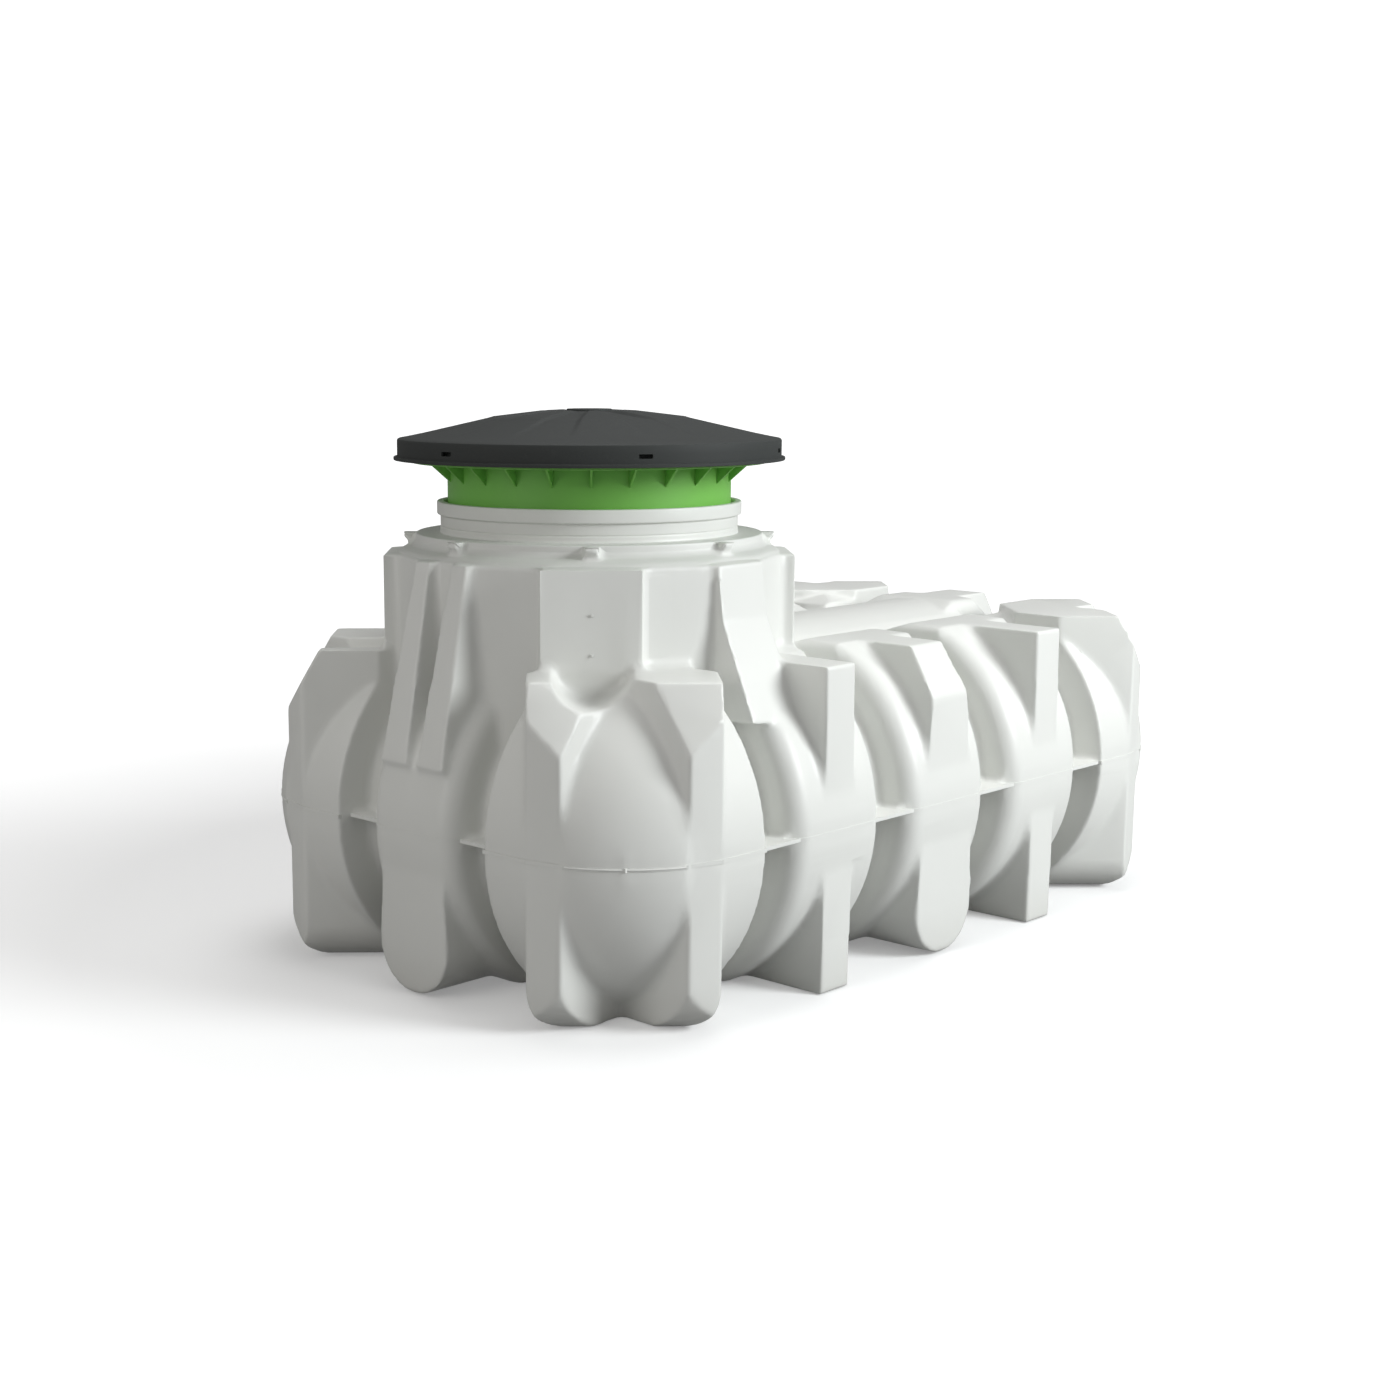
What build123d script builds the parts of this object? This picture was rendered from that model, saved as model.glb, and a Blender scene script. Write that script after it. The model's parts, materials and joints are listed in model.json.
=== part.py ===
import os
from math import asin, cos, degrees, radians, sin

from build123d import *

# Flat underground water tank: two lobed half shells, an access tower, a telescopic shaft and a lid.
# Origin: middle of the footprint at ground level. +X runs away from the tower end, +Z is up.

# Half shells
body_length = 2100
body_width = 1250
body_height = 700
seam_height = 350
wall = 9
shoulder = 218  # run of the round side, from its widest line in to the flat top
crest = 97  # flat top of a lobe
crest_slope = 130  # run of the slope from the flat top down to the groove floor
groove_depth = 85  # at the seam
groove_drop = 45  # on the top and on the underside
groove_round = 305  # run of the groove floor, from its widest line in to its flat top
lobe_rounding = 45  # radius along the two edges of the round part of a lobe
flat_rounding = 28  # the same on its flat part
drum_core = 150  # inner radius of the round part of a lobe, hidden in its flat part

# Lobes and grooves
side_pitch = 395
end_pitch = 358
groove_width = 98
corner_inset = 300  # from the end and side planes in to the axis of a corner lobe
eye_radius = 322  # plan radius of the round eye between the two fins of a corner
eye_chord = 246

# Fins
fin_setback = 8  # how far a fin's upright face lies behind the widest line of its lobe
fin_root = 260
fin_foot_lift = 3
narrow_fin = 100
wide_fin_top = 120
wide_fin_foot = 215
fin_slope_run = 70
fin_slope_drop = 110
corner_fin_setback = 30
corner_fin_root = 350
corner_fin_inner = 125
corner_fin_outer = 194
corner_valley = 141  # how far the valley between the two fins lies behind their faces
corner_fin_lean = 40
corner_fin_slope_run = 80
corner_fin_slope_drop = 140
corner_foot_run = 80
corner_foot_rise = 160
corner_foot_rounding = 85

# Seam flange
seam_thickness = 8
side_flange_setback = 8
end_flange_setback = 31

# Top ridge
ridge_width = 350
ridge_end = 735

# Access tower
tower_offset = 512
tower_radius = 425
tower_sides = 16
tower_top = 905
tower_base = 500
pad_reach = 447
pad_width = 210
cradle_radius = 85
cradle_depth = 58
end_rib_width = 84
end_rib_top = 50
end_rib_spacing = 112
end_rib_foot = 490
side_rib_width = 150
side_rib_foot = 585
side_rib_knee = 790
side_rib_setback = 82
rib_rise = 15

# Roof and neck of the tower
shelf_radius = 380
shelf_bottom = 926
shelf_top = 946
lug_count = 8
lug_reach = 30
lug_width = 30
lug_height = 14
neck_bore = 319
neck_radius = 327
bead_radius = 334.5
bead_bottom = 985
neck_top = 1015
seal_bottom = 955
seal_height = 24
seal_clearance = 0.5

# Shaft
shaft_radius = 311
shaft_wall = 6
shaft_bottom = 680
flange_radius = 390
flange_top = 1104
collar_top = 1144
gusset_count = 24
gusset_width = 5
gusset_reach = 357
gusset_bottom = 1058

# Lid
lid_radius = 420
lid_wall = 5
lid_bottom = 1104
lid_shoulder = 1150
lip_width = 8
lip_height = 7
lid_seat = 375
crown_radius = 210
crown_height = 1193
cap_radius = 50
cap_height = 1208
cap_thickness = 5
slot_count = 6
slot_width = 30
slot_height = 9
slot_bottom = 1122

half_length = body_length / 2
half_width = body_width / 2
half_side_groove = 1.5 * side_pitch
half_end_groove = end_pitch / 2
corner_x = half_length - corner_inset
corner_y = half_width - corner_inset
far = 2 * body_length


def outward_plane(origin, angle):
    # Upright plane through origin: its first axis points outward at angle, its second axis up.
    turn = radians(angle)
    return Plane(origin=origin, x_dir=(cos(turn), sin(turn), 0), z_dir=(sin(turn), -cos(turn), 0))


def box_between(low, high):
    with BuildPart() as block:
        with BuildSketch(Plane.XY.offset(low[2])):
            with Locations(((low[0] + high[0]) / 2, (low[1] + high[1]) / 2)):
                Rectangle(high[0] - low[0], high[1] - low[1])
        extrude(amount=high[2] - low[2])
    return block.part


def front_plane(plane):
    # Upright plane through the same origin that faces outward: its second axis points up.
    return Plane(origin=plane.origin, x_dir=plane.z_dir, z_dir=plane.x_dir * -1)


def level_plane(plane, height):
    return Plane(
        origin=plane.origin + Vector(0, 0, height), x_dir=plane.x_dir, z_dir=(0, 0, 1)
    )


def belly(plane, reach, width, inset):
    # Round side of the tank, as a prism from the middle out to its widest line.
    top = body_height - inset
    foot = inset
    shoulder_at = reach - shoulder
    crest_at = shoulder_at - crest
    slope_at = crest_at - crest_slope
    with BuildPart() as lobe:
        with BuildSketch(plane):
            with BuildLine():
                Polyline(
                    (shoulder_at, foot), (crest_at, foot), (slope_at, foot + groove_drop),
                    (0, foot + groove_drop), (0, top - groove_drop), (slope_at, top - groove_drop),
                    (crest_at, top), (shoulder_at, top),
                )
                ThreePointArc(
                    (shoulder_at, top), (reach - inset, seam_height), (shoulder_at, foot)
                )
            make_face()
        extrude(amount=width / 2, both=True)
    return lobe.part


def round_belly(plane, reach, width, inset):
    # Lobe from the middle of the tank out to its widest line: a flat part and a round drum,
    # both with round edges.
    top = body_height - inset
    foot = inset
    shoulder_at = reach - shoulder
    crest_at = shoulder_at - crest
    slope_at = crest_at - crest_slope
    rise = seam_height - inset
    run = shoulder - inset
    drum_radius = (rise**2 + run**2) / (2 * run)
    drum_at = reach - inset - drum_radius
    drum_axis = Axis(
        plane.origin + plane.x_dir * drum_at + plane.y_dir * seam_height, plane.z_dir
    )
    half_turn = asin(rise / drum_radius)
    spoke = plane.x_dir * cos(half_turn) - plane.y_dir * sin(half_turn)
    with BuildPart() as drum:
        with BuildSketch(
            Plane(origin=drum_axis.position, x_dir=spoke, z_dir=spoke.cross(plane.z_dir))
        ):
            RectangleRounded(2 * drum_radius, width, lobe_rounding - inset)
            with Locations(((drum_radius + drum_core) / 2, 0)):
                Rectangle(drum_radius - drum_core, width, mode=Mode.INTERSECT)
        revolve(axis=drum_axis, revolution_arc=2 * degrees(half_turn))
    with BuildPart() as lobe:
        with BuildSketch(plane):
            with BuildLine():
                Polyline(
                    (shoulder_at, foot), (crest_at, foot), (slope_at, foot + groove_drop),
                    (0, foot + groove_drop), (0, top - groove_drop), (slope_at, top - groove_drop),
                    (crest_at, top), (shoulder_at, top), close=True,
                )
            make_face()
        extrude(amount=width / 2, both=True)
        with BuildSketch(front_plane(plane)):
            with Locations((0, seam_height)):
                RectangleRounded(width, body_height - 2 * inset, flat_rounding - inset)
        extrude(amount=-far, mode=Mode.INTERSECT)
        add(drum.part)
    return lobe.part


def groove_floor(plane, reach, width, inset):
    # Full section of the tank at the bottom of its grooves, as a prism.
    top = body_height - groove_drop - inset
    foot = groove_drop + inset
    widest = reach - groove_depth - inset
    round_at = reach - groove_depth - groove_round
    with BuildPart() as core:
        with BuildSketch(plane):
            with BuildLine():
                Line((-round_at, foot), (round_at, foot))
                ThreePointArc((round_at, foot), (widest, seam_height), (round_at, top))
                Line((round_at, top), (-round_at, top))
                ThreePointArc((-round_at, top), (-widest, seam_height), (-round_at, foot))
            make_face()
        extrude(amount=width / 2, both=True)
    return core.part


def fin_side(plane, face, root, sloped, inset, width):
    # Side outline of a fin on a straight lobe, as wide as its foot.
    top = body_height - inset
    with BuildPart() as fin:
        with BuildSketch(plane):
            with BuildLine():
                if sloped:
                    Polyline(
                        (root, inset), (root, top), (face - fin_slope_run, top),
                        (face, top - fin_slope_drop), (face, inset), (root, inset),
                    )
                else:
                    Polyline((root, inset), (root, top), (face, top), (face, inset), (root, inset))
            make_face()
        extrude(amount=width / 2, both=True)
    return fin.part


def wide_fin(plane, reach, inset):
    # Fin with a sloped top that widens to a round foot.
    half_top = wide_fin_top / 2 - inset
    half_foot = wide_fin_foot / 2 - inset
    foot = fin_foot_lift + inset
    with BuildPart() as fin:
        with BuildSketch(front_plane(plane)):
            with BuildLine():
                Polyline(
                    (-half_foot, foot + half_foot), (-half_top, body_height - inset),
                    (half_top, body_height - inset), (half_foot, foot + half_foot),
                )
                ThreePointArc((half_foot, foot + half_foot), (0, foot), (-half_foot, foot + half_foot))
            make_face()
        extrude(amount=-far)
        add(
            fin_side(plane, reach - fin_setback - inset, reach - fin_root, True, inset, wide_fin_foot),
            mode=Mode.INTERSECT,
        )
    return fin.part


def straight_lobe(origin, angle, reach, pitch, wide, inset):
    plane = outward_plane(origin, angle)
    face = reach - fin_setback - inset
    with BuildPart() as lobe:
        add(round_belly(plane, reach, pitch - groove_width - 2 * inset, inset))
        if wide:
            add(wide_fin(plane, reach, inset))
        else:
            add(fin_side(plane, face, reach - fin_root, False, inset, narrow_fin - 2 * inset))
    return lobe.part


def corner_front(nose, middle, inset):
    # Plan outline of the two fins of a corner, with the valley between them, from far behind.
    face = nose - corner_fin_setback
    outer = corner_fin_outer
    inner = corner_fin_inner
    with BuildSketch(level_plane(outward_plane((0, 0, 0), 225), 0)) as outline:
        with BuildLine():
            Polyline(
                (nose - corner_fin_root - inset, middle - outer), (face - corner_fin_lean, middle - outer),
                (face, middle - inner), (face - corner_valley, middle), (face, middle + inner),
                (face - corner_fin_lean, middle + outer),
                (nose - corner_fin_root - inset, middle + outer), close=True,
            )
        make_face()
        if inset > 0:
            offset(amount=-inset, kind=Kind.INTERSECTION)
    return outline.sketch


def corner_fins(nose, middle, inset):
    # Block with two upright fins, a sloped top and a round foot.
    face = nose - corner_fin_setback - inset
    root = nose - corner_fin_root
    top = body_height - inset
    diagonal = outward_plane((0, 0, 0), 225)
    curve = 1 - cos(radians(45))
    with BuildPart() as fins:
        add(corner_front(nose, middle, inset))
        extrude(amount=body_height)
        with BuildSketch(diagonal):
            with BuildLine():
                Polyline(
                    (face, inset + corner_foot_rise), (face, top - corner_fin_slope_drop),
                    (face - corner_fin_slope_run, top), (root, top), (root, inset),
                    (face - corner_foot_run, inset),
                )
                ThreePointArc(
                    (face - corner_foot_run, inset),
                    (face - corner_foot_run * curve, inset + corner_foot_rise * curve),
                    (face, inset + corner_foot_rise),
                )
            make_face()
        extrude(amount=far, both=True, mode=Mode.INTERSECT)
        with BuildSketch(front_plane(diagonal)):
            with Locations((-middle, body_height + inset)):
                RectangleRounded(
                    2 * (corner_fin_outer - inset), 2 * body_height, corner_foot_rounding - inset
                )
        extrude(amount=-far, mode=Mode.INTERSECT)
    return fins.part


def eye(nose, middle, inset):
    # Round barrel between the two fins of a corner.
    diagonal = outward_plane((0, 0, 0), 225)
    axis_point = diagonal.x_dir * (nose - eye_radius) - diagonal.z_dir * middle
    half_turn = degrees(asin((eye_chord / 2 - 2 * inset) / (eye_radius - inset)))
    with BuildPart() as barrel:
        with BuildSketch(outward_plane(axis_point, 225 - half_turn)):
            with BuildLine():
                Polyline(
                    (eye_radius - shoulder, inset), (0, inset), (0, body_height - inset),
                    (eye_radius - shoulder, body_height - inset),
                )
                ThreePointArc(
                    (eye_radius - shoulder, body_height - inset), (eye_radius - inset, seam_height),
                    (eye_radius - shoulder, inset),
                )
            make_face()
        revolve(axis=Axis(axis_point, (0, 0, 1)), revolution_arc=2 * half_turn)
    return barrel.part


def corner_lobe(inset):
    # Corner at the tower end, front side: both bellies meet behind the two fins.
    nose = (corner_x + corner_y) / 2**0.5 + corner_inset
    middle = (corner_y - corner_x) / 2**0.5
    cheek_x = half_side_groove + groove_width / 2 + inset
    cheek_y = half_end_groove + groove_width / 2 + inset
    diagonal = outward_plane((0, 0, 0), 225)
    with BuildPart() as lobe:
        add(belly(outward_plane((0, 0, 0), 270), half_width, far, inset))
        add(belly(outward_plane((0, 0, 0), 180), half_length, far, inset), mode=Mode.INTERSECT)
        with BuildSketch(level_plane(diagonal, 0)):
            with Locations((nose - corner_fin_root + far / 2, middle)):
                Rectangle(far, 2 * (corner_fin_outer + inset))
        extrude(amount=body_height, mode=Mode.SUBTRACT)
        add(corner_fins(nose, middle, inset))
        add(eye(nose, middle, inset))
        add(
            box_between((-half_length, -half_width, 0), (-cheek_x, -cheek_y, body_height)),
            mode=Mode.INTERSECT,
        )
    return lobe.part


def corner_stretch(inset):
    # Everything in the corner cell: the lobe, and the groove floor beside it.
    with BuildPart() as stretch:
        add(groove_floor(outward_plane((0, 0, 0), 270), half_width, body_length, inset))
        add(
            groove_floor(outward_plane((0, 0, 0), 180), half_length, body_width, inset),
            mode=Mode.INTERSECT,
        )
        add(
            box_between((-half_length, -half_width, 0), (-half_side_groove, -half_end_groove, body_height)),
            mode=Mode.INTERSECT,
        )
        add(corner_lobe(inset))
    return stretch.part


def side_stretch(middle, wide, inset):
    # One lobe of the front side, with the groove floor to the middle of each groove beside it.
    origin = (middle, 0, 0)
    with BuildPart() as stretch:
        add(groove_floor(outward_plane(origin, 270), half_width, side_pitch, inset))
        add(straight_lobe(origin, 270, half_width, side_pitch, wide, inset))
        add(
            box_between(
                (middle - side_pitch / 2, -half_width, 0),
                (middle + side_pitch / 2, -half_end_groove, body_height),
            ),
            mode=Mode.INTERSECT,
        )
    return stretch.part


def end_stretch(finned, inset):
    # The lobe in the middle of the tower end.
    plane = outward_plane((0, 0, 0), 180)
    with BuildPart() as stretch:
        add(groove_floor(plane, half_length, end_pitch, inset))
        if finned:
            add(straight_lobe((0, 0, 0), 180, half_length, end_pitch, True, inset))
        else:
            add(round_belly(plane, half_length, end_pitch - groove_width - 2 * inset, inset))
        add(
            box_between(
                (-half_length, -half_end_groove, 0), (-half_side_groove, half_end_groove, body_height)
            ),
            mode=Mode.INTERSECT,
        )
    return stretch.part


def pipe_seat(radius):
    # Half-round seat for a pipe that enters the pad above the front corner at the tower end.
    angle = 225
    axis_point = outward_plane((-tower_offset, 0, 0), angle).x_dir * pad_reach
    axis_point = axis_point + Vector(-tower_offset, 0, body_height - cradle_depth + cradle_radius)
    plane = outward_plane(axis_point, angle)
    with BuildPart() as cutter:
        with BuildSketch(Plane(origin=axis_point, x_dir=plane.z_dir, z_dir=plane.x_dir)):
            Circle(radius)
        extrude(amount=body_length / 2)
    return cutter.part


def tower_prism(inset, low, high):
    with BuildPart() as prism:
        with BuildSketch(Plane.XY.offset(low)):
            with Locations((-tower_offset, 0)):
                RegularPolygon(
                    radius=tower_radius - inset, side_count=tower_sides, major_radius=False,
                    rotation=180 / tower_sides,
                )
        extrude(amount=high - low)
    return prism.part


def end_ribs():
    # Two ribs that run from the top of the tower down onto the lobe at the tower end.
    reach = tower_radius + rib_rise
    foot_reach = half_length - fin_setback - tower_offset
    plane = outward_plane((-tower_offset, 0, 0), 180)
    with BuildPart() as ribs:
        with BuildSketch(plane):
            with BuildLine():
                Polyline(
                    (shelf_radius, tower_top), (reach, tower_top), (foot_reach, end_rib_foot),
                    (shelf_radius, end_rib_foot), close=True,
                )
            make_face()
        extrude(amount=half_end_groove, both=True)
        with BuildSketch(Plane(origin=plane.origin, x_dir=plane.z_dir, z_dir=-plane.x_dir)):
            for side in (-1, 1):
                middle = side * end_rib_spacing / 2
                with BuildLine():
                    Polyline(
                        (middle - end_rib_top / 2, tower_top), (middle + end_rib_top / 2, tower_top),
                        (middle + end_rib_width / 2, end_rib_foot),
                        (middle - end_rib_width / 2, end_rib_foot), close=True,
                    )
                make_face()
        extrude(amount=-far, mode=Mode.INTERSECT)
    return ribs.part


def side_rib(angle):
    # One broad rib that runs down over the end of the groove beside the tower.
    reach = tower_radius + rib_rise
    foot_reach = half_width - side_rib_setback
    with BuildPart() as rib:
        with BuildSketch(outward_plane((-tower_offset, 0, 0), angle)):
            with BuildLine():
                Polyline(
                    (shelf_radius, tower_top), (reach, tower_top), (reach + rib_rise, side_rib_knee),
                    (foot_reach, side_rib_foot), (shelf_radius, side_rib_foot), close=True,
                )
            make_face()
        extrude(amount=side_rib_width / 2, both=True)
    return rib.part


def tower_pad(angle):
    with BuildPart() as pad:
        with BuildSketch(outward_plane((-tower_offset, 0, 0), angle)):
            with Locations(((shelf_radius + pad_reach) / 2, (tower_base + tower_top) / 2)):
                Rectangle(pad_reach - shelf_radius, tower_top - tower_base)
        extrude(amount=pad_width / 2, both=True)
    return pad.part


def tower_solid(body_stretches):
    with BuildPart() as tower:
        add(tower_prism(0, tower_base, tower_top))
        for angle in (45, 135, 225, 315):
            add(tower_pad(angle))
        add(end_ribs())
        for angle in (90, 270):
            add(side_rib(angle))
        add(tower_prism(wall, 0, far), mode=Mode.SUBTRACT)
        for stretch in body_stretches:
            add(stretch, mode=Mode.SUBTRACT)
    return tower.part


def sector(angle, half_turn):
    reach = 2 * tower_radius
    middle = (-tower_offset, 0, 0)
    start = outward_plane(middle, angle - half_turn)
    end = outward_plane(middle, angle + half_turn)
    with BuildPart() as wedge:
        with BuildSketch():
            with BuildLine():
                Polyline(
                    middle, middle + start.x_dir * reach, middle + end.x_dir * reach, close=True
                )
            make_face()
        extrude(amount=far)
    return wedge.part


def all_around(corner, end, sides):
    # Every stretch of the body: four corners, two ends and three lobes on each side.
    front = [corner, corner.mirror(Plane.YZ), *sides]
    return front + [stretch.mirror(Plane.XZ) for stretch in front] + [end, end.mirror(Plane.YZ)]


def finish(piece, name):
    piece.label = name
    export_step(piece, f"parts/{name}.step")


os.makedirs("parts", exist_ok=True)

tower_bore = tower_prism(wall, tower_base, body_height)
corner_outside = corner_stretch(0)
corner_inside = corner_stretch(wall)
end_outside = end_stretch(True, 0)
end_inside = end_stretch(True, wall)
tower_end_outside = end_stretch(False, 0)
side_outsides = [side_stretch(step * side_pitch, step == 0, 0) for step in (-1, 0, 1)]
side_insides = [side_stretch(step * side_pitch, step == 0, wall) for step in (-1, 0, 1)]
lower_layer = box_between(
    (-half_length, -half_width, 0), (half_length, half_width, seam_height - seam_thickness / 2)
)
upper_layer = box_between(
    (-half_length, -half_width, seam_height + seam_thickness / 2), (half_length, half_width, body_height)
)

# Lobes along the two sides
for layer, layer_box in (("lower", lower_layer), ("upper", upper_layer)):
    for number in (1, 2, 3):
        with BuildPart() as side_lobe:
            add(side_outsides[number - 1])
            add(side_insides[number - 1], mode=Mode.SUBTRACT)
            add(layer_box, mode=Mode.INTERSECT)
            if layer == "upper":
                add(tower_bore, mode=Mode.SUBTRACT)
        finish(side_lobe.part, f"{layer}_front_lobe_{number}")
        finish(side_lobe.part.mirror(Plane.XZ), f"{layer}_rear_lobe_{number}")

# Lobes in the middle of the two ends
for layer, layer_box in (("lower", lower_layer), ("upper", upper_layer)):
    with BuildPart() as end_lobe:
        add(end_outside)
        add(end_inside, mode=Mode.SUBTRACT)
        add(layer_box, mode=Mode.INTERSECT)
    finish(end_lobe.part.mirror(Plane.YZ), f"{layer}_far_end_lobe")
    with BuildPart() as tower_end_lobe:
        if layer == "lower":
            add(end_lobe.part)
        else:
            add(tower_end_outside)
            add(end_stretch(False, wall), mode=Mode.SUBTRACT)
            add(layer_box, mode=Mode.INTERSECT)
            add(tower_bore, mode=Mode.SUBTRACT)
    finish(tower_end_lobe.part, f"{layer}_tower_end_lobe")

# Corner lobes
with BuildPart() as seat_inside:
    add(corner_inside)
    add(pipe_seat(cradle_radius + wall), mode=Mode.SUBTRACT)

for layer, layer_box in (("lower", lower_layer), ("upper", upper_layer)):
    with BuildPart() as corner:
        add(corner_outside)
        add(corner_inside, mode=Mode.SUBTRACT)
        add(layer_box, mode=Mode.INTERSECT)
    finish(corner.part.mirror(Plane.YZ), f"{layer}_far_end_front_corner")
    finish(corner.part.mirror(Plane.YZ).mirror(Plane.XZ), f"{layer}_far_end_rear_corner")
    with BuildPart() as tower_end_corner:
        if layer == "lower":
            add(corner.part)
        else:
            add(corner_outside)
            add(pipe_seat(cradle_radius), mode=Mode.SUBTRACT)
            add(seat_inside.part, mode=Mode.SUBTRACT)
            add(layer_box, mode=Mode.INTERSECT)
            add(tower_bore, mode=Mode.SUBTRACT)
    finish(tower_end_corner.part, f"{layer}_tower_end_front_corner")
    finish(tower_end_corner.part.mirror(Plane.XZ), f"{layer}_tower_end_rear_corner")

# Floor plate and top deck between the lobes
with BuildPart() as floor_plate:
    with BuildSketch(Plane.XY.offset(groove_drop)):
        Rectangle(2 * half_side_groove, 2 * half_end_groove)
    extrude(amount=wall)
finish(floor_plate.part, "floor_plate")

with BuildPart() as top_deck:
    with BuildSketch(Plane.XY.offset(body_height - groove_drop - wall)):
        Rectangle(2 * half_side_groove, 2 * half_end_groove)
    extrude(amount=wall)
    add(tower_bore, mode=Mode.SUBTRACT)
finish(top_deck.part, "top_deck")

# Ridge along the top
with BuildPart() as top_ridge:
    with BuildSketch(Plane.YZ.offset(-tower_offset + tower_radius)):
        with BuildLine():
            deck = body_height - groove_drop
            Line((-ridge_width / 2, deck), (ridge_width / 2, deck))
            ThreePointArc((ridge_width / 2, deck), (0, body_height), (-ridge_width / 2, deck))
        make_face()
    extrude(amount=ridge_end + tower_offset - tower_radius)
    add(end_outside.mirror(Plane.YZ), mode=Mode.SUBTRACT)
finish(top_ridge.part, "top_ridge")

# Seam flange
seam_bottom = Plane.XY.offset(seam_height - seam_thickness / 2)
with BuildPart() as seam_flange:
    with BuildSketch(seam_bottom):
        RectangleRounded(
            body_length - 2 * end_flange_setback, body_width - 2 * side_flange_setback, corner_inset
        )
    extrude(amount=seam_thickness)
    for stretch in all_around(corner_outside, end_outside, side_outsides):
        extrude(section(stretch, seam_bottom, mode=Mode.PRIVATE), amount=seam_thickness, dir=(0, 0, 1))
    for stretch in all_around(corner_inside, end_inside, side_insides):
        outline = section(stretch, seam_bottom, mode=Mode.PRIVATE)
        extrude(outline, amount=seam_thickness, dir=(0, 0, 1), mode=Mode.SUBTRACT)
    add(
        box_between(
            (-half_side_groove, -half_end_groove, 0), (half_side_groove, half_end_groove, body_height)
        ),
        mode=Mode.SUBTRACT,
    )
finish(seam_flange.part, "seam_flange")

# Tower wall in eight panels
deck_block = box_between(
    (-half_side_groove, -half_end_groove, groove_drop),
    (half_side_groove, half_end_groove, body_height - groove_drop),
)
tower = tower_solid(
    [
        corner_outside, corner_outside.mirror(Plane.XZ), tower_end_outside, deck_block,
        side_outsides[0], side_outsides[0].mirror(Plane.XZ),
        side_outsides[1], side_outsides[1].mirror(Plane.XZ),
    ]
)
tower_panels = {
    0: "tower_wall_ridge_side", 45: "tower_pad_ridge_rear", 90: "tower_wall_rear",
    135: "tower_pad_end_rear", 180: "tower_wall_end", 225: "tower_pad_end_front",
    270: "tower_wall_front", 315: "tower_pad_ridge_front",
}
for angle, name in tower_panels.items():
    with BuildPart() as panel:
        add(tower)
        add(sector(angle, 22.5), mode=Mode.INTERSECT)
    finish(panel.part, name)

# Tower roof
with BuildPart() as tower_roof:
    with BuildSketch(outward_plane((-tower_offset, 0, 0), 0)):
        with BuildLine():
            Polyline(
                (tower_radius - wall, tower_top), (tower_radius, tower_top),
                (shelf_radius, shelf_bottom), (shelf_radius, shelf_top), (neck_bore, shelf_top),
                (neck_bore, shelf_top - wall), (shelf_radius - wall, shelf_top - wall),
                (shelf_radius - wall, shelf_bottom - wall / 2), close=True,
            )
        make_face()
    revolve(axis=Axis((-tower_offset, 0, 0), (0, 0, 1)))
    with BuildSketch(Plane.XY.offset(shelf_top - lug_height)):
        with Locations((-tower_offset, 0)):
            with PolarLocations(shelf_radius + lug_reach / 2 - wall / 2, lug_count):
                Rectangle(lug_reach + wall, lug_width)
    extrude(amount=lug_height)
finish(tower_roof.part, "tower_roof")

# Neck ring with its bead
with BuildPart() as neck_ring:
    with BuildSketch(outward_plane((-tower_offset, 0, 0), 0)):
        with BuildLine():
            Polyline(
                (neck_bore, shelf_top), (neck_radius, shelf_top), (neck_radius, bead_bottom),
                (bead_radius, bead_bottom), (bead_radius, neck_top), (neck_bore, neck_top),
                close=True,
            )
        make_face()
    revolve(axis=Axis((-tower_offset, 0, 0), (0, 0, 1)))
finish(neck_ring.part, "neck_ring")

# Lip seal in the neck
with BuildPart() as neck_seal:
    with BuildSketch(Plane.XY.offset(seal_bottom)):
        with Locations((-tower_offset, 0)):
            Circle(neck_bore)
            Circle(shaft_radius + seal_clearance, mode=Mode.SUBTRACT)
    extrude(amount=seal_height)
finish(neck_seal.part, "neck_seal")

# Telescopic shaft
with BuildPart() as shaft_tube:
    with BuildSketch(Plane.XY.offset(shaft_bottom)):
        with Locations((-tower_offset, 0)):
            Circle(shaft_radius)
            Circle(shaft_radius - shaft_wall, mode=Mode.SUBTRACT)
    extrude(amount=flange_top - shaft_wall - shaft_bottom)
finish(shaft_tube.part, "shaft_tube")

# Flat flange of the shaft, with gussets under it
flange_bottom = flange_top - shaft_wall
with BuildPart() as shaft_flange:
    with BuildSketch(Plane.XY.offset(flange_bottom)):
        with Locations((-tower_offset, 0)):
            Circle(flange_radius)
            Circle(shaft_radius - shaft_wall, mode=Mode.SUBTRACT)
    extrude(amount=shaft_wall)
    for number in range(gusset_count):
        with BuildSketch(outward_plane((-tower_offset, 0, 0), 360 * number / gusset_count)):
            with BuildLine():
                Polyline(
                    (shaft_radius, gusset_bottom), (gusset_reach, flange_bottom),
                    (shaft_radius, flange_bottom), close=True,
                )
            make_face()
        extrude(amount=gusset_width / 2, both=True)
finish(shaft_flange.part, "shaft_flange")

with BuildPart() as shaft_collar:
    with BuildSketch(Plane.XY.offset(flange_top)):
        with Locations((-tower_offset, 0)):
            Circle(flange_radius)
            Circle(flange_radius - shaft_wall, mode=Mode.SUBTRACT)
    extrude(amount=collar_top - flange_top)
finish(shaft_collar.part, "shaft_collar")

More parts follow.
